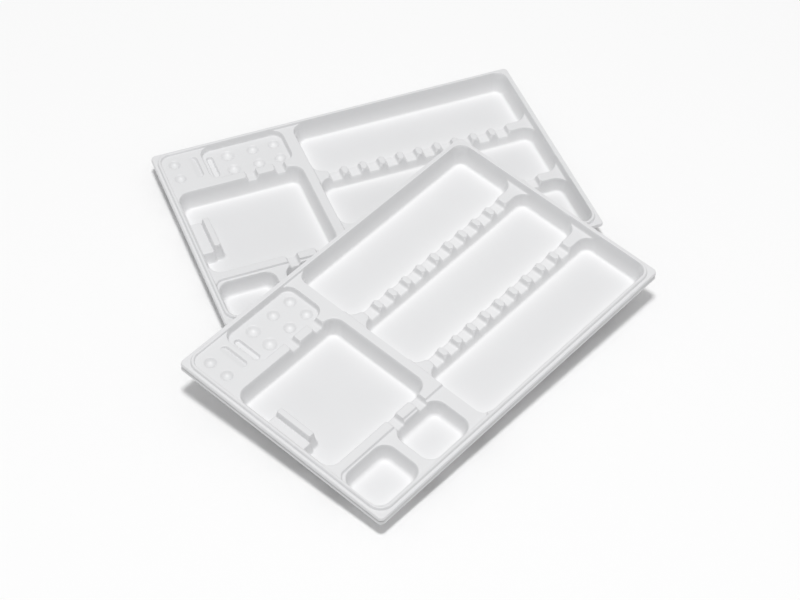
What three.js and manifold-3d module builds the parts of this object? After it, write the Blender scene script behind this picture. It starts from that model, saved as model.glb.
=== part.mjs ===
// Three disposable dental set-up trays, each one thermoformed from a single sheet of white
// polystyrene. One tray lies flat. The other two are nested in each other, and the pair leans
// with one corner on the table and its underside on the long front rim of the flat tray.
// Millimetres, +Z up. The origin is the centre of the flat tray, on the surface it rests on.
import * as THREE from 'three';
import { mergeVertices } from 'three/addons/utils/BufferGeometryUtils.js';
import Module from 'manifold-3d';

const wasm = await Module();
wasm.setup();

// ---------------------------------------------------------------- driving dimensions
// The tray as a whole. X runs along its length, Y across it.
const trayLength = 284;
const trayWidth = 183;
const trayHeight = 16.5; // from the surface it rests on to the top of the rim bead
const wall = 0.5; // thickness of the formed sheet
const draft = THREE.MathUtils.degToRad(12); // lean of every wall away from upright
const floorFillet = 3; // inside radius where a wall meets a floor

// The rim: a short skirt hangs from a flat flange, and a raised bead runs inside the flange.
const skirtHeight = 2.8;
const flangeWidth = 2;
const beadHeight = 2;
const beadWidth = 1.9;
const rimCorner = 2.6;
const beadCorner = 10;

// Levels, each measured down from the top of the bead.
const deckDrop = 1.6; // the deck between the compartments
const smallDeckDrop = 3.3; // the lower deck round the two small cups
const shelfDrop = 5.7;
const railDrop = 5.2;
const ledge = 0.4; // flat left at the foot of each wall before the next hollow begins

// The left half: a shelf at the back, the square well, and two small cups at the front.
const leftHalfLength = 95.8; // from the rim bead to the right-hand wall of the square well
const spineWidth = 7.4; // from that wall to the long compartments
const shelfDepth = 35.1;
const shelfRidge = 6.5; // between the shelf and the square well
const shallowLength = 30.6; // the part of the shelf that stays at deck level
const shelfInset = 1.7; // the shelf ends this much before the square well does
const cupDepth = 34.7;
const cupGap = 7.2;
const cupEnd = 3.3; // the second cup ends this much before the square well does
const cupFront = 2.1; // from the rim bead to the small cups
const cupBack = 1.9; // deck left behind the small cups, before the step up
const leftMargin = 1.3; // from the rim bead to the square well and to the first small cup
const frontRidge = 6.7; // between the square well and the small deck
const wellCorner = 9;

// The right half: three long compartments, parted by two toothed rails.
const backCompartment = 51.5; // from the rim bead to the first rail's teeth
const railSpacing = 59.2;
const toothDepth = 8.2; // a tooth's size across the rail
const toothLength = 4;
const notchPitch = 14.6;
const notchDepth = 4.2;
const firstNotch = 9.9; // from the long compartments' end wall to the first notch
const railEndLength = 15.3; // the least plain end that each rail keeps
const longCorner = 9;

// Rests, slots and dimples.
const restWidth = 8.7;
const restSpacing = 22;
const restInset = 10.2; // from the square well's right-hand wall to the second rest
const slotWidth = 5.8;
const slotLength = 22.3;
const slotDepth = 1.7;
const slotSetback = 7.1; // from the rim bead to the slots' far ends
const slotOffsets = [-6.9, 5.7]; // from the step in the shelf to each slot's middle
const dimpleDepth = 1.5;
const dimpleSetback = 10.8;
const dimplePitch = 15.5;
const shallowDimple = { fromBead: 9.3, radius: 3.5 };
const deepDimples = [
  { fromStep: 19.3, radius: 4.2 },
  { fromStep: 38.7, radius: 3.6 },
  { fromStep: 55, radius: 3.5 },
];

// The clip at the left of the square well: a low block against the wall and a taller bar.
const clipBlock = { length: 9.3, width: 32, drop: 7 };
const clipBar = { length: 4.5, width: 29.7, drop: 3.5 };
const clipGap = 1.2; // between the tops of the block and the bar
const clipSetback = 28; // from the square well's back wall to the block and the bar

// How the trays lie.
const nestGap = 0.32; // between the walls of two nested trays
const seatGap = 0.3; // between the leaning pair and the rim that it rests on
const pileTurn = THREE.MathUtils.degToRad(27.1);
const pileShift = { x: -17.7, forward: 50.5 }; // forward of the flat tray's front edge

const arcSteps = 3; // straight pieces in each quarter turn

// ---------------------------------------------------------------- worked-out sizes
const slope = Math.tan(draft);
const nestPitch = (wall + nestGap) / Math.sin(draft);

const floorLevel = wall;
const flangeLevel = trayHeight - beadHeight;
const hemLevel = flangeLevel - skirtHeight;
const deckLevel = trayHeight - deckDrop;
const smallDeckLevel = trayHeight - smallDeckDrop;
const shelfLevel = trayHeight - shelfDrop;
const railLevel = trayHeight - railDrop;

// The rim's outlines, as half sizes, each at the level where it is named.
const hemHalf = { x: trayLength / 2, y: trayWidth / 2 };
const beadFoot = skirtHeight * slope + flangeWidth;
const beadInner = beadFoot + beadHeight * slope + beadWidth;
const outer = (inset) => ({
  x0: inset - hemHalf.x,
  x1: hemHalf.x - inset,
  y0: inset - hemHalf.y,
  y1: hemHalf.y - inset,
});
const inside = outer(beadInner);

const shrink = (box, by) => ({
  x0: box.x0 + by,
  x1: box.x1 - by,
  y0: box.y0 + by,
  y1: box.y1 - by,
});

// The foot of a hollow's drafted walls, less the ledge: where the next hollow's edge runs.
const footOf = ({ box, edge, floor }) => shrink(box, (edge - floor) * slope + ledge);

// ---------------------------------------------------------------- solids
// A rectangle with round corners, drawn up through a stack of levels, lowest first. Each level
// has its height, its box and its corner radius. One prism is extruded with unit corners, and
// its rings then move to their levels.
function rounded(levels, steps) {
  const points = [];
  [[1, 1], [-1, 1], [-1, -1], [1, -1]].forEach(([x, y], corner) => {
    for (let step = 0; step <= steps; step += 1) {
      const angle = ((corner + step / steps) * Math.PI) / 2;
      points.push(new THREE.Vector2(x + Math.cos(angle), y + Math.sin(angle)));
    }
  });
  const rings = levels.length - 1;
  const geometry = new THREE.ExtrudeGeometry(new THREE.Shape(points), {
    depth: rings,
    steps: rings,
    bevelEnabled: false,
  });
  const place = (unit, low, high, radius) => {
    const reach = (high - low) / 2 + radius * (Math.abs(unit) - 2);
    return (low + high) / 2 + Math.sign(unit) * reach;
  };
  const position = geometry.attributes.position;
  for (let i = 0; i < position.count; i += 1) {
    const { z, box, radius } = levels[Math.round(position.getZ(i))];
    const x = place(position.getX(i), box.x0, box.x1, radius);
    const y = place(position.getY(i), box.y0, box.y1, radius);
    position.setXYZ(i, x, y, z);
  }
  return geometry;
}

function solidOf(geometry) {
  const bare = geometry.clone();
  for (const name of ['normal', 'uv']) bare.deleteAttribute(name);
  const merged = mergeVertices(bare, 1e-5);
  return new wasm.Manifold(
    new wasm.Mesh({
      numProp: 3,
      vertProperties: new Float32Array(merged.attributes.position.array),
      triVerts: new Uint32Array(merged.index.array),
    }),
  );
}

function join(solids) {
  return solids.reduce((sum, solid) => sum.add(solid));
}

// The air in a hollow whose top edge is `box` at the level `edge`. The walls close in by the
// draft as they go down, and turn into the floor with a fillet. `skin` moves every face out
// into the sheet: 0 gives the sheet's upper face, and the wall's thickness its lower face.
function hollow({ box, edge, floor, corner, fillet = floorFillet, steps = arcSteps }, skin) {
  const level = (z, inset) => ({
    z,
    box: shrink(box, inset),
    radius: Math.max(corner - inset, 0.4),
  });
  const levels = [];
  const turns = fillet > 2 ? 2 : 1;
  for (let turn = 0; turn <= turns && fillet > 0; turn += 1) {
    const angle = (turn / turns) * (Math.PI / 2 - draft);
    const middle = (edge - floor - fillet) * slope + fillet / Math.cos(draft);
    const z = floor + fillet - (fillet + skin) * Math.cos(angle);
    levels.push(level(z, middle - (fillet + skin) * Math.sin(angle)));
  }
  const straight = (z) => level(z, (edge - z) * slope - skin / Math.cos(draft));
  if (fillet === 0) levels.push(straight(floor - skin));
  levels.push(straight(trayHeight + 4));
  return solidOf(rounded(levels, steps));
}

// A raised block whose top face is `box` at the level `top`. `skin` moves its faces inward.
function block({ box, top, foot, corner, steps = arcSteps }, skin) {
  const levels = [foot, top - skin].map((z) => {
    const inset = skin / Math.cos(draft) - (top - z) * slope;
    return { z, box: shrink(box, inset), radius: Math.max(corner - inset, 0.3) };
  });
  return solidOf(rounded(levels, steps));
}

// A shallow bowl pressed into a deck at the level `z`.
function dimple({ x, y, z, radius }, skin) {
  const bowl = new THREE.SphereGeometry(1, 8, 4);
  bowl.rotateX(Math.PI / 2);
  bowl.scale(radius + skin, radius + skin, dimpleDepth + skin);
  bowl.translate(x, y, z);
  return solidOf(bowl);
}

// ---------------------------------------------------------------- the layout of one tray
const wellRight = inside.x0 + leftHalfLength;
const longLeft = wellRight + spineWidth;

const deck = {
  box: inside,
  edge: trayHeight,
  floor: deckLevel,
  corner: beadCorner - beadWidth,
  fillet: 0,
};
const deckFoot = footOf(deck);

// The shelf, the square well before it, and the small deck with its two cups.
const ridgeBack = inside.y1 - shelfDepth;
const wellBack = ridgeBack - shelfRidge;
const cupsFront = inside.y0 + cupFront;
const cupsBack = cupsFront + cupDepth;
const smallDeckBack = cupsBack + cupBack;
const wellFront = smallDeckBack + frontRidge;
const cupsLeft = inside.x0 + leftMargin;
const well = {
  box: { x0: cupsLeft, x1: wellRight, y0: wellFront, y1: wellBack },
  edge: deckLevel,
  floor: floorLevel,
  corner: wellCorner,
};
const shelfStep = inside.x0 + shallowLength;
const shelf = {
  box: { x0: shelfStep, x1: wellRight - shelfInset, y0: ridgeBack, y1: deckFoot.y1 },
  edge: deckLevel,
  floor: shelfLevel,
  corner: 8,
  fillet: 1,
};
const smallDeck = {
  box: { x0: deckFoot.x0, x1: longLeft + 5, y0: deckFoot.y0, y1: smallDeckBack },
  edge: deckLevel,
  floor: smallDeckLevel,
  corner: 6,
  fillet: 0,
};
const cupLength = (leftHalfLength - leftMargin - cupGap - cupEnd) / 2;
const smallCups = [0, 1].map((place) => {
  const x0 = cupsLeft + place * (cupLength + cupGap);
  return {
    box: { x0, x1: x0 + cupLength, y0: cupsFront, y1: cupsBack },
    edge: smallDeckLevel,
    floor: floorLevel,
    corner: wellCorner,
  };
});

// The long compartments, in one recess that brings their rails down to the rails' level.
const recess = {
  box: { x0: longLeft, x1: deckFoot.x1, y0: deckFoot.y0 + ledge, y1: deckFoot.y1 - ledge },
  edge: deckLevel,
  floor: railLevel,
  corner: longCorner,
  fillet: 0,
};
const recessFoot = footOf(recess);
const railLines = [0, 1].map(
  (rail) => inside.y1 - backCompartment - toothDepth / 2 - rail * railSpacing,
);
const longEdges = [
  recessFoot.y1,
  ...railLines.flatMap((y) => [y + toothDepth / 2, y - toothDepth / 2]),
  recessFoot.y0,
];
const longCompartments = [0, 1, 2].map((place) => ({
  box: {
    x0: recessFoot.x0,
    x1: recessFoot.x1,
    y0: longEdges[2 * place + 1],
    y1: longEdges[2 * place],
  },
  edge: railLevel,
  floor: floorLevel,
  corner: longCorner,
}));

const notchStart = recess.box.x0 + firstNotch;
const notchEnd = recessFoot.x1 - railEndLength;
const notchLength = notchPitch - toothLength;
const notchCount = 1 + Math.floor((notchEnd - notchStart - notchLength) / notchPitch);
const notchReach = toothDepth / 2 + (railLevel - floorLevel) * slope + 3;
const notches = railLines.flatMap((y) =>
  Array.from({ length: notchCount }, (_, place) => {
    const x0 = notchStart + place * notchPitch;
    return {
      box: { x0, x1: x0 + notchLength, y0: y - notchReach, y1: y + notchReach },
      edge: railLevel,
      floor: railLevel - notchDepth,
      corner: 0.8,
      fillet: 1.2,
      steps: 1,
    };
  }),
);

// Rests for handles, cut through the ridges before and behind the square well.
const restReach = 5;
const ridges = [
  { y0: wellBack - restReach, y1: ridgeBack + restReach },
  { y0: cupsBack - restReach, y1: wellFront + restReach },
];
const rests = ridges.flatMap(({ y0, y1 }) =>
  [0, 1].map((place) => {
    const x1 = wellRight - restInset - place * restSpacing;
    return {
      box: { x0: x1 - restWidth, x1, y0, y1 },
      edge: deckLevel,
      floor: shelfLevel,
      corner: 1.5,
      fillet: 1.2,
      steps: 1,
    };
  }),
);

const slots = slotOffsets.map((offset) => {
  const level = offset < 0 ? deckLevel : shelfLevel;
  const x0 = shelfStep + offset - slotWidth / 2;
  const y1 = inside.y1 - slotSetback;
  return {
    box: { x0, x1: x0 + slotWidth, y0: y1 - slotLength, y1 },
    edge: level,
    floor: level - slotDepth,
    corner: slotWidth / 2 - 0.05,
    fillet: 0.8,
  };
});

const dimpleRows = [0, 1].map((row) => inside.y1 - dimpleSetback - row * dimplePitch);
const dimples = dimpleRows.flatMap((y) => [
  { x: inside.x0 + shallowDimple.fromBead, y, z: deckLevel, radius: shallowDimple.radius },
  ...deepDimples.map(({ fromStep, radius }) => ({
    x: shelfStep + fromStep,
    y,
    z: shelfLevel,
    radius,
  })),
]);

const bedDepth = 6; // the mould's solid reaches this far under the trays
const blockEnd = well.box.x0 + clipBlock.length;
const clipBack = wellBack - clipSetback;
const clip = [
  [clipBlock, well.box.x0 - 2, blockEnd],
  [clipBar, blockEnd + clipGap, blockEnd + clipGap + clipBar.length],
].map(([piece, x0, x1]) => ({
  box: { x0, x1, y0: clipBack - piece.width, y1: clipBack },
  top: trayHeight - piece.drop,
  foot: -bedDepth,
  corner: 1.2,
  steps: 1,
}));

// ---------------------------------------------------------------- one tray
// The forming mould's surface, moved into the sheet by `skin`. The sheet lies between the
// mould at 0 and the mould at the wall's thickness.
function mould(skin) {
  const rim = [
    { box: outer(skirtHeight * slope), top: flangeLevel, corner: rimCorner },
    { box: outer(beadFoot + beadHeight * slope), top: trayHeight, corner: beadCorner },
  ].map((piece) => block({ ...piece, foot: hemLevel }, skin));
  const bed = solidOf(
    rounded(
      [-bedDepth, hemLevel].map((z) => ({ z, box: outer(-20), radius: 1 })),
      1,
    ),
  );
  const hollows = [
    deck,
    smallDeck,
    recess,
    shelf,
    well,
    ...smallCups,
    ...longCompartments,
    ...notches,
    ...rests,
    ...slots,
  ].map((piece) => hollow(piece, skin));
  const bowls = dimples.map((piece) => dimple(piece, skin));
  const raised = clip.map((piece) => block(piece, skin));
  return join([...rim, bed]).subtract(join([...hollows, ...bowls])).add(join(raised));
}

function trayGeometry() {
  const sheet = mould(0).subtract(mould(wall));
  const mesh = sheet.getMesh();
  const geometry = new THREE.BufferGeometry();
  geometry.setAttribute('position', new THREE.BufferAttribute(mesh.vertProperties, 3));
  geometry.setIndex(new THREE.BufferAttribute(mesh.triVerts, 1));
  return geometry;
}

const tray = trayGeometry();
function makeTray(name) {
  const material = new THREE.MeshStandardMaterial({ color: 0xf1f1f2, roughness: 0.38, metalness: 0 });
  const mesh = new THREE.Mesh(tray, material);
  mesh.name = name;
  return mesh;
}

// ---------------------------------------------------------------- how the trays lie
// The leaning pair stands on the point of its first small cup's floor that reaches furthest
// forward, and its underside clears the flat tray's bead by the seat gap.
function leaningPair() {
  const { box, edge, floor, corner } = smallCups[0];
  const floorInset = (edge - floor - floorFillet) * slope + floorFillet / Math.cos(draft);
  const toe = new THREE.Vector3(-Math.sin(pileTurn), -Math.cos(pileTurn), 0)
    .multiplyScalar(corner - floorInset)
    .add(new THREE.Vector3(box.x0 + corner, box.y0 + corner, 0));
  const shift = new THREE.Vector3(pileShift.x, -hemHalf.y - pileShift.forward, 0);
  const stand = toe.clone().applyAxisAngle(new THREE.Vector3(0, 0, 1), pileTurn).add(shift);
  const reach = outer(beadFoot + beadHeight * slope).y0 - stand.y;
  const lean = Math.atan2(trayHeight, reach) + Math.asin(seatGap / Math.hypot(reach, trayHeight));

  const pair = new THREE.Group();
  pair.rotation.set(lean, 0, pileTurn);
  pair.position.copy(stand).sub(toe.applyEuler(pair.rotation));
  return pair;
}

const trays = new THREE.Group();
trays.add(makeTray('back_tray'));

const pair = leaningPair();
pair.add(makeTray('front_lower_tray'));
const upper = makeTray('front_upper_tray');
upper.position.z = nestPitch;
pair.add(upper);
trays.add(pair);

export default trays;
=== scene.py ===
import math

import bmesh
import bpy
import numpy as np
from mathutils import Euler, Matrix, Vector


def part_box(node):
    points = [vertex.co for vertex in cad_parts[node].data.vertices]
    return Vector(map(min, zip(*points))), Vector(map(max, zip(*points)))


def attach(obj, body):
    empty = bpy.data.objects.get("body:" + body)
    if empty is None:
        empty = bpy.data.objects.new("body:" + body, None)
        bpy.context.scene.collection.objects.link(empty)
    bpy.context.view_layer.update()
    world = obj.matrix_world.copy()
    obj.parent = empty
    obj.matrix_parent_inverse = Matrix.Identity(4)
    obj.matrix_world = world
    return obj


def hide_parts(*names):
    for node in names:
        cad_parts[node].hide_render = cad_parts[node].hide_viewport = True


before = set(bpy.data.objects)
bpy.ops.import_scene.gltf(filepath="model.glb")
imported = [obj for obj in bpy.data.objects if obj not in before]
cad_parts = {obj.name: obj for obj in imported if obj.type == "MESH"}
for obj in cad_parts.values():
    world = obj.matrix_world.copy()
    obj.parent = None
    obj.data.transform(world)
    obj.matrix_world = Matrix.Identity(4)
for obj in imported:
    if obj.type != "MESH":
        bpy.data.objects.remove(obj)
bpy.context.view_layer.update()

# ---- back_tray -------------------------------------------------------------------------
# The flat tray: one sheet of white polystyrene, drawn down by vacuum over a mould, so every
# wall leans by the same draft and every lip and foot is rounded. It lies loose on the table,
# on the undersides of its compartment floors. Sizes are in millimetres until the mesh is done.
HALF_X, HALF_Y, TOP = 1000 * np.array(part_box("back_tray")[1])
WALL = 0.5
DRAFT = math.radians(12)
SLOPE = math.tan(DRAFT)
TURN = math.tan((math.pi / 2 - DRAFT) / 2)  # a fillet's reach along a face, over its radius

# The rim, from outside in: a skirt, a flange and a raised bead. The skirt is hemmed a little
# short, so that a dark line shows between two nested rims.
SKIRT, HEM_LIFT = 2.8, 0.5
FLANGE_WIDTH = 2.0
BEAD_HEIGHT, BEAD_WIDTH, BEAD_CORNER = 2.0, 1.9, 10.0

# Levels, counted down from the top of the rim bead.
FLANGE = TOP - BEAD_HEIGHT
HEM = FLANGE - (SKIRT - HEM_LIFT)
DECK = TOP - 1.6
SMALL_DECK = TOP - 3.3
RAIL = TOP - 5.2
SHELF = TOP - 5.7
FLOOR = WALL

# Fillets at the feet of the walls, and the round corners of the compartments.
FOOT, CUP_FOOT = 2.0, 3.4
POCKET_CORNER = 9.0

# The height field covers everything inside the flange's outer lip.
STEP = 0.4
RIM_MARGIN = 2.1
field_x, field_y = HALF_X - RIM_MARGIN, HALF_Y - RIM_MARGIN
columns, rows = round(2 * field_x / STEP), round(2 * field_y / STEP)
X, Y = np.meshgrid(
    np.linspace(-field_x, field_x, columns + 1),
    np.linspace(-field_y, field_y, rows + 1),
)


def inside(x0, x1, y0, y1, corner):
    """Distance inward from a rectangle with round corners, negative outside it."""
    qx = np.abs(X - (x0 + x1) / 2) - (x1 - x0) / 2 + corner
    qy = np.abs(Y - (y0 + y1) / 2) - (y1 - y0) / 2 + corner
    outer = np.hypot(np.maximum(qx, 0), np.maximum(qy, 0))
    return corner - outer - np.minimum(np.maximum(qx, qy), 0)


def drop(d, edge, floor, lip, foot, rise=True):
    """Height along a drafted wall that falls from edge to floor, with its lip at d = 0.

    Outside the lip the height goes on up at the wall's slope, or stays level without rise.
    """
    start = -lip * TURN
    end = (edge - floor) * SLOPE + foot * TURN
    lip_arc = edge - lip + np.sqrt(np.maximum(lip**2 - (d - start) ** 2, 0))
    foot_arc = floor + foot - np.sqrt(np.maximum(foot**2 - (end - d) ** 2, 0))
    z = edge - d / SLOPE
    z = np.where(d < start + lip * math.cos(DRAFT), lip_arc, z)
    z = np.where(d > end - foot * math.cos(DRAFT), foot_arc, z)
    z = np.where(d > end, floor, z)
    above = edge + (start - d) / SLOPE if rise else edge
    return np.where(d < start, above, z)


def blend(a, b, reach):
    """The lower of two surfaces, with the crease between them rounded."""
    near = np.maximum(reach - np.abs(a - b), 0) / reach
    return np.minimum(a, b) - near**2 * reach / 4


# The rim bead, and the deck inside it.
bead_foot = SKIRT * SLOPE + FLANGE_WIDTH
bead_top = bead_foot + BEAD_HEIGHT * SLOPE
bead_inner = bead_top + BEAD_WIDTH
left, right = bead_inner - HALF_X, HALF_X - bead_inner
front, back = bead_inner - HALF_Y, HALF_Y - bead_inner
bead_x, bead_y = HALF_X - bead_top, HALF_Y - bead_top
bead = inside(-bead_x, bead_x, -bead_y, bead_y, BEAD_CORNER)
rim = drop(-bead, TOP, FLANGE, lip=0.5, foot=0.2, rise=False)
rim_in = inside(left, right, front, back, BEAD_CORNER - BEAD_WIDTH)
surface = np.minimum(rim, drop(rim_in, TOP, DECK, lip=0.5, foot=0.3))
deck_in = (TOP - DECK) * SLOPE

# Where a compartment's wall runs on from the bead's, there is no lip between the two. The lip
# grows to its full radius over this distance from the bead.
LIP_GROWTH = 4
lips = np.clip((rim_in - deck_in) / LIP_GROWTH, 0.05, 1)

# The right half: a recess down to the rails' level, three long compartments, and the rows of
# scooped notches that leave the teeth standing on each rail.
RAIL_HALF, RAIL_SPACING = 4.1, 59.2
NOTCHES, NOTCH_PITCH, NOTCH_DEPTH = 10, 14.6, 4.2
NOTCH_FROM, NOTCH_TO = 0.4, 10.2
SPINE = 7.4
well_right = left + 95.8
long_left = well_right + SPINE
first_notch = long_left + 9.9
recess_in = (DECK - RAIL) * SLOPE
recess_right = right - deck_in
recess_front, recess_back = front + deck_in, back - deck_in
recess_edge = inside(long_left, recess_right, recess_front, recess_back, POCKET_CORNER)
surface = np.minimum(surface, drop(recess_edge, DECK, RAIL, lip=lips, foot=1.2))
rails = [back - 51.5 - RAIL_HALF - rail * RAIL_SPACING for rail in (0, 1)]
long_spans = (
    (rails[0] + RAIL_HALF, recess_back - recess_in),
    (rails[1] + RAIL_HALF, rails[0] - RAIL_HALF),
    (recess_front + recess_in, rails[1] - RAIL_HALF),
)
compartments = [(long_left + recess_in, recess_right - recess_in, *span) for span in long_spans]
long_cuts = np.full_like(X, np.inf)
for outline in compartments:
    long_cut = drop(inside(*outline, POCKET_CORNER), RAIL, FLOOR, lip=lips, foot=FOOT)
    long_cuts = np.minimum(long_cuts, long_cut)
UNCUT = 99.0
notch_cuts = np.full_like(X, UNCUT)
for y in rails:
    notch_front, notch_back = y - 2 * RAIL_HALF, y + 2 * RAIL_HALF
    for notch in range(NOTCHES):
        x0 = first_notch + NOTCH_PITCH * notch
        edge = inside(x0 + NOTCH_FROM, x0 + NOTCH_TO, notch_front, notch_back, 4.4)
        notch_cut = drop(edge, RAIL, RAIL - NOTCH_DEPTH, lip=1.0, foot=1.8)
        notch_cuts = np.minimum(notch_cuts, notch_cut)
surface = np.minimum(surface, blend(long_cuts, notch_cuts, 5.6))

# The left half: the shelf, the square well, and the lower deck with its two small cups. A cut
# that ends in an open space runs on into it by the overrun.
OVERRUN = 5
CUP_LENGTH, CUP_PITCH = 42.0, 49.2
ridge_back = back - 35.1
well_back = ridge_back - 6.5
cups_front = front + 2.1
cups_back = cups_front + 34.7
small_deck_back = cups_back + 1.9
well_front = small_deck_back + 6.7
well_left = left + 1.3
shelf_left = left + 30.6
shelf_edge = inside(shelf_left, well_right - 1.7, ridge_back, back - deck_in, 8.0)
surface = np.minimum(surface, drop(shelf_edge, DECK, SHELF, lip=0.5 * lips, foot=1.2))
small_deck = (left + deck_in, long_left + OVERRUN, front + deck_in, small_deck_back)
small_edge = inside(*small_deck, 6.5)
surface = np.minimum(surface, drop(small_edge, DECK, SMALL_DECK, lip=0.8 * lips, foot=0.8))
well = (well_left, well_right, well_front, well_back)
cup_lefts = (well_left, well_left + CUP_PITCH)
cups = [(x0, x0 + CUP_LENGTH, cups_front, cups_back) for x0 in cup_lefts]
compartments += [well, *cups]
wells = drop(inside(*well, POCKET_CORNER), DECK, FLOOR, lip=1.0, foot=FOOT)
for outline in cups:
    cup_edge = inside(*outline, POCKET_CORNER)
    wells = np.minimum(wells, drop(cup_edge, SMALL_DECK, FLOOR, lip=1.0, foot=CUP_FOOT))

# Rests for handles, cut through the ridges before and behind the square well.
REST_WIDTH, REST_PITCH = 8.7, 22.0
rest_cuts = np.full_like(X, UNCUT)
for y0, y1 in ((well_back, ridge_back), (cups_back, well_front)):
    for rest in (0, 1):
        x1 = well_right - 10.2 - REST_PITCH * rest
        edge = inside(x1 - REST_WIDTH, x1, y0 - OVERRUN, y1 + OVERRUN, 1.5)
        rest_cuts = np.minimum(rest_cuts, drop(edge, DECK, SHELF, lip=0.7, foot=2.0))
surface = np.minimum(surface, blend(wells, rest_cuts, 4.0))

# Two slots, the first with a floor that slopes, and eight dimples in the shelf corner.
SLOT_DEPTH = 2.1
slot_front, slot_back = back - 29.4, back - 7.1
for offset, half, level, slope in ((-6.9, 2.9, DECK, 0.36), (5.7, 2.4, SHELF, 0)):
    x = shelf_left + offset
    edge = inside(x - half, x + half, slot_front, slot_back, half)
    ramp = level - SLOT_DEPTH + (x + half - X) * slope
    slot = np.maximum(drop(edge, level, level - SLOT_DEPTH, lip=0.5, foot=1.0), ramp)
    surface = blend(surface, slot, 0.4)
DIMPLE_DEPTH, DIMPLE_BRIM = 2.5, 1.5
dimple_rows = (back - 10.8, back - 26.3)
for x, level, radius in (
    (left + 9.3, DECK, 4.2),
    (shelf_left + 19.3, SHELF, 4.9),
    (shelf_left + 38.7, SHELF, 4.3),
    (shelf_left + 55.0, SHELF, 4.2),
):
    ball = (radius**2 + DIMPLE_DEPTH**2) / (2 * DIMPLE_DEPTH)
    for y in dimple_rows:
        away = np.hypot(X - x, Y - y)
        bowl = level + ball - DIMPLE_DEPTH - np.sqrt(np.maximum(ball**2 - away**2, 0.01))
        surface = np.where(away < radius + DIMPLE_BRIM, blend(surface, bowl, 1.2), surface)

# The clip at the square well's left wall: a low block, and a taller bar beside it. Its foot
# is rounded into the floor only where it stands above the floor.
CLIP_CORNER, CLIP_BLEND = 1.2, 1.4
clip_back = well_back - 28
block_right = well_left + 9.3
bar_left = block_right + 1.2
for x0, x1, length, top, foot in (
    (well_left - 2, block_right, 32.0, TOP - 7.0, 1.2),
    (bar_left, bar_left + 4.5, 29.7, TOP - 3.5, 1.8),
):
    edge = inside(x0, x1, clip_back - length, clip_back, CLIP_CORNER)
    raised = drop(-edge, top, FLOOR, lip=0.7, foot=foot, rise=False)
    surface = -blend(-surface, -raised, 0.01 + CLIP_BLEND * np.clip(raised - FLOOR, 0, 1))

# The height field becomes a mesh, and its edge goes on over the flange and down the skirt.
# Near a corner the field's square outline is led round the skirt's arc.
sheet = bmesh.new()
bmesh.ops.create_grid(sheet, x_segments=columns, y_segments=rows, size=0.5)
for v in sheet.verts:
    i, j = round((v.co.x + 0.5) * columns), round((v.co.y + 0.5) * rows)
    v.co = (X[j, i], Y[j, i], surface[j, i])

CORNER, ROUND_OFF = 3.5, 4.0
ARC = CORNER * math.pi / 4
centre_x, centre_y = HALF_X - CORNER, HALF_Y - CORNER
anchors = {}
rim_edges = [e for e in sheet.edges if e.is_boundary]
for v in {v for e in rim_edges for v in e.verts}:
    across = abs(abs(v.co.x) - field_x) < 1e-4
    sign_x, sign_y = math.copysign(1, v.co.x), math.copysign(1, v.co.y)
    from_corner = field_y - abs(v.co.y) if across else field_x - abs(v.co.x)
    along = from_corner * (ARC + ROUND_OFF - CORNER + RIM_MARGIN) / ROUND_OFF
    if from_corner >= ROUND_OFF:
        along = from_corner + ARC - CORNER + RIM_MARGIN
    angle = math.pi / 4 * (1 - min(along / ARC, 1))
    straight = max(along - ARC, 0)
    if across:
        anchor = Vector((sign_x * centre_x, sign_y * (centre_y - straight), 0))
        way = Vector((sign_x * math.cos(angle), sign_y * math.sin(angle), 0))
    else:
        anchor = Vector((sign_x * (centre_x - straight), sign_y * centre_y, 0))
        way = Vector((sign_x * math.sin(angle), sign_y * math.cos(angle), 0))
    anchors[v] = (anchor, way)
LIP, HEM_BAND = 0.7, 0.7
flange_edge = CORNER - (FLANGE - HEM) * SLOPE
rings = [(flange_edge - LIP * TURN, FLANGE)]
for part in (0.25, 0.5, 0.75, 1.0):
    angle = math.pi / 2 - part * (math.pi / 2 - DRAFT)
    rings.append((rings[0][0] + LIP * math.cos(angle), FLANGE - LIP + LIP * math.sin(angle)))
rings.append((CORNER - HEM_BAND * SLOPE, HEM + HEM_BAND))
rings.append((CORNER, HEM))
for out, height in rings:
    grown = bmesh.ops.extrude_edge_only(sheet, edges=rim_edges)["geom"]
    grown_from = {}
    for v in [g for g in grown if isinstance(g, bmesh.types.BMVert)]:
        neighbours = [e.other_vert(v) for e in v.link_edges]
        grown_from[v] = next(n for n in neighbours if n in anchors)
    anchors = {v: anchors[before] for v, before in grown_from.items()}
    for v, (anchor, way) in anchors.items():
        v.co = anchor + way * out
        v.co.z = height
    rim_edges = [g for g in grown if isinstance(g, bmesh.types.BMEdge) and g.is_boundary]
bmesh.ops.recalc_face_normals(sheet, faces=sheet.faces)


def corner_order(piece):
    """A number for an edge's or a face's place in the mesh, from its lowest and highest vertex."""
    corners = [v.index for v in piece.verts]
    return min(corners) * len(sheet.verts) + max(corners)


# An extrusion leaves its edges and faces in no fixed order, and its edges pointing either way.
# The thinning follows both, so both are settled first.
sheet.verts.index_update()
sheet.edges.sort(key=corner_order)
sheet.faces.sort(key=corner_order)
formed = bpy.data.meshes.new("formed_sheet")
sheet.to_mesh(formed)
sheet.free()
ends = np.empty(2 * len(formed.edges), np.int32)
formed.edges.foreach_get("vertices", ends)
formed.edges.foreach_set("vertices", np.sort(ends.reshape(-1, 2)).ravel())

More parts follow.
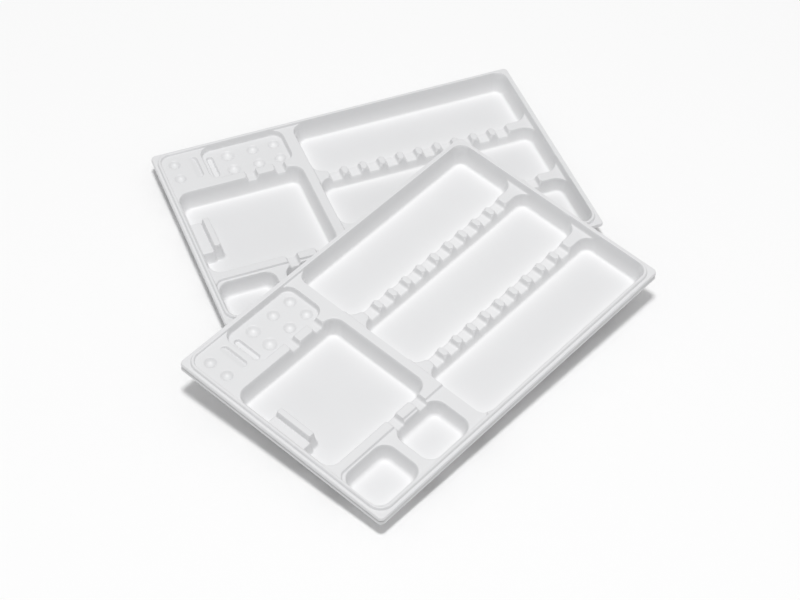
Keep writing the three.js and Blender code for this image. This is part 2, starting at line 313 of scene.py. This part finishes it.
# Flat parts keep fewer faces, and then the sheet gets its thickness, downwards.
maker = bpy.data.objects.new("formed_sheet", formed)
bpy.context.scene.collection.objects.link(maker)
thin_out = maker.modifiers.new("thin_out", "DECIMATE")
thin_out.ratio = 0.13
thickness = maker.modifiers.new("thickness", "SOLIDIFY")
thickness.thickness = WALL
thickness.offset = -1
thickness.use_even_offset = True
graph = bpy.context.evaluated_depsgraph_get()
tray_mesh = bpy.data.meshes.new_from_object(maker.evaluated_get(graph))
bpy.data.objects.remove(maker)
bpy.data.meshes.remove(formed)
tray_mesh.shade_smooth()
tray_mesh.set_sharp_from_angle(angle=math.radians(60))

# Each vertex keeps its place on the mould, for the painted light in the plastic's colour.
mould_place = tray_mesh.attributes.new("mould_place", "FLOAT_VECTOR", "POINT")
points = np.empty(3 * len(tray_mesh.vertices), np.float32)
tray_mesh.vertices.foreach_get("co", points)
mould_place.data.foreach_set("vector", points)


class Signal:
    """A shader socket: operators and maths on it add Math nodes to its material."""

    def __init__(self, material, socket):
        self.material, self.socket = material, socket

    def maths(self, operation, *others):
        numbers = dict(enumerate((self, *others)))
        return self.material.add("ShaderNodeMath", {"operation": operation}, numbers)

    def __add__(self, other):
        return self.maths("ADD", other)

    def __sub__(self, other):
        return self.maths("SUBTRACT", other)

    def __rsub__(self, other):
        return self.maths("MULTIPLY", -1) + other

    def __mul__(self, other):
        return self.maths("MULTIPLY", other)

    def __truediv__(self, other):
        return self.maths("DIVIDE", other)

    def __abs__(self):
        return self.maths("ABSOLUTE")

    __radd__ = __add__
    __rmul__ = __mul__


class Finish:
    """A material whose nodes all come from one method, add."""

    def __init__(self, name):
        self.data = bpy.data.materials.new(name)
        self.data.use_nodes = True
        self.shader = self.data.node_tree.nodes["Principled BSDF"]

    def feed(self, node, values):
        for key, value in values.items():
            if isinstance(value, Signal):
                self.data.node_tree.links.new(value.socket, node.inputs[key])
            else:
                node.inputs[key].default_value = value

    def add(self, kind, settings, values, output=0):
        node = self.data.node_tree.nodes.new(kind)
        for key, value in settings.items():
            setattr(node, key, value)
        self.feed(node, values)
        return Signal(self, node.outputs[output])


# White polystyrene. Painted light: the colour is paler the lower a surface lies, on the walls
# and most of all at their feet, fading towards the middle of each compartment floor. This stands
# in for light thrown back onto the low floors and the bright line along the walls' feet. It is
# faintly cloudy, and its skin has an orange peel.
SHEET_WHITE, PAINTED_GLOW_WHITE = (0.745, 0.747, 0.755, 1), (0.885, 0.885, 0.89, 1)
WALL_RUN, PAINTED_GLOW_REACH, CORNER_EASE = 4.0, 5.5, 12.0
plastic = Finish("satin_white_polystyrene")
place = plastic.add("ShaderNodeTexCoord", {}, {}, "Object")
cloud = plastic.add("ShaderNodeTexNoise", {}, {"Vector": place, "Scale": 26.0, "Detail": 3.0})
mould = plastic.add("ShaderNodeAttribute", {"attribute_name": "mould_place"}, {}, "Vector")
x, y, z = (plastic.add("ShaderNodeSeparateXYZ", {}, {"Vector": mould}, axis) for axis in "XYZ")
past_foot = 0.0
for x0, x1, y0, y1 in compartments:
    from_sides = (x1 - x0) / 2 - abs(x - (x0 + x1) / 2)
    from_ends = (y1 - y0) / 2 - abs(y - (y0 + y1) / 2)
    inward = from_sides.maths("SMOOTH_MIN", from_ends, CORNER_EASE) - WALL_RUN
    past_foot = inward.maths("MAXIMUM", 0.0) + past_foot
# Painted light: paler the lower the surface and the nearer it lies to a wall's foot.
depth_glow = ((SHELF - z) / (SHELF - FLOOR)).maths("MAXIMUM", 0.0)
painted_glow = depth_glow * (past_foot * (-1 / PAINTED_GLOW_REACH)).maths("EXPONENT")
colour = plastic.add(
    "ShaderNodeMix",
    {"data_type": "RGBA"},
    {0: painted_glow * 0.85 + cloud * 0.15, 6: SHEET_WHITE, 7: PAINTED_GLOW_WHITE},
    2,
)
grain = plastic.add("ShaderNodeTexNoise", {}, {"Vector": place, "Scale": 700.0, "Detail": 2.0})
peel = plastic.add("ShaderNodeBump", {}, {"Strength": 0.08, "Distance": 0.0002, "Height": grain})
plastic.feed(
    plastic.shader,
    {"Base Color": colour, "Roughness": cloud * 0.12 + 0.36, "Normal": peel, "IOR": 1.5},
)


def lay_tray(node, matrix):
    """One formed sheet, brought from millimetres at the mould to its place, as node's looks."""
    tray = bpy.data.objects.new("formed_" + node, tray_mesh.copy())
    tray.data.transform(matrix @ Matrix.Scale(0.001, 4))
    tray.data.materials.clear()
    tray.data.materials.append(plastic.data)
    bpy.context.scene.collection.objects.link(tray)
    even = tray.modifiers.new("even_normals", "WEIGHTED_NORMAL")
    even.keep_sharp = True
    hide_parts(node)
    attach(tray, node)


lay_tray("back_tray", Matrix())

# ---- front_lower_tray ------------------------------------------------------------------
# The same formed sheet again, carrying the third tray. It stands on the rounded foot of its
# first small cup, and its underside leans on the flat tray's front rim, 0.3 mm clear of it.
TOE_FILLET, SEAT_GAP = 3.0, 0.3
pile_turn = math.radians(27.1)
pile_shift = Vector((-17.7, -HALF_Y - 50.5, 0))
toe_height = SMALL_DECK - FLOOR - TOE_FILLET
toe_reach = POCKET_CORNER - toe_height * SLOPE - TOE_FILLET / math.cos(DRAFT)
toe = Vector((-math.sin(pile_turn), -math.cos(pile_turn), 0)) * toe_reach
toe += Vector((well_left + POCKET_CORNER, cups_front + POCKET_CORNER, 0))
stand = Matrix.Rotation(pile_turn, 3, "Z") @ toe + pile_shift
reach = bead_top - HALF_Y - stand.y
lean = math.atan2(TOP, reach) + math.asin(SEAT_GAP / math.hypot(reach, TOP))
tilt = Matrix.Rotation(lean, 3, "X") @ Matrix.Rotation(pile_turn, 3, "Z")
lower_place = Matrix.Translation((stand - tilt @ toe) / 1000) @ tilt.to_4x4()
lay_tray("front_lower_tray", lower_place)

# ---- front_upper_tray ------------------------------------------------------------------
# The third sheet, nested in the second: its drafted walls stop 0.32 mm from the lower ones,
# which lifts it by the nesting pitch along the pair's own tilted upright.
NEST_GAP = 0.32
nest_pitch = (WALL + NEST_GAP) / math.sin(DRAFT)
lay_tray("front_upper_tray", lower_place @ Matrix.Translation((0, 0, nest_pitch / 1000)))
bpy.data.meshes.remove(tray_mesh)

# ---- floor, light and camera -----------------------------------------------------------
# A plain pale floor, one large soft light high above it and a dim even surround, and a long
# lens that looks down at the trays from the front left.
FLOOR_SIZE, FLOOR_DROP = 6, 0.0002
ground = bmesh.new()
bmesh.ops.create_grid(ground, x_segments=1, y_segments=1, size=FLOOR_SIZE)
floor_mesh = bpy.data.meshes.new("floor")
ground.to_mesh(floor_mesh)
ground.free()
floor_mesh.transform(Matrix.Translation((0, 0, -FLOOR_DROP)))
floor = bpy.data.objects.new("floor", floor_mesh)
bpy.context.scene.collection.objects.link(floor)
pale = Finish("pale_floor")
pale.feed(
    pale.shader,
    {"Base Color": (0.95, 0.95, 0.95, 1), "Roughness": 0.9, "Specular IOR Level": 0.1},
)
floor_mesh.materials.append(pale.data)

world = bpy.data.worlds.new("surround")
world.use_nodes = True
world.node_tree.nodes["Background"].inputs["Color"].default_value = (1, 1, 1, 1)
world.node_tree.nodes["Background"].inputs["Strength"].default_value = 0.47
bpy.context.scene.world = world

middle = Vector((-0.0169, -0.0977, 0))
lamp = bpy.data.lights.new("key", "AREA")
lamp.size = 0.7
lamp.energy = 92
key = bpy.data.objects.new("key", lamp)
key.location = middle + Vector((-0.2, -0.52, 4.0))
key.rotation_euler = (middle - key.location).to_track_quat("-Z", "Y").to_euler()
bpy.context.scene.collection.objects.link(key)

azimuth, elevation, distance = math.radians(20.82), math.radians(46.19), 1.6125
run = math.cos(elevation)
ahead = Vector((math.sin(azimuth) * run, math.cos(azimuth) * run, -math.sin(elevation)))
lens = bpy.data.cameras.new("camera")
lens.sensor_width = 36
lens.lens = 103.5
lens.clip_end = 50
camera = bpy.data.objects.new("camera", lens)
camera.location = middle - ahead * distance
camera.rotation_euler = Euler((math.pi / 2 - elevation, 0, -azimuth))
bpy.context.scene.collection.objects.link(camera)
bpy.context.scene.camera = camera
bpy.context.scene.view_settings.view_transform = "Standard"
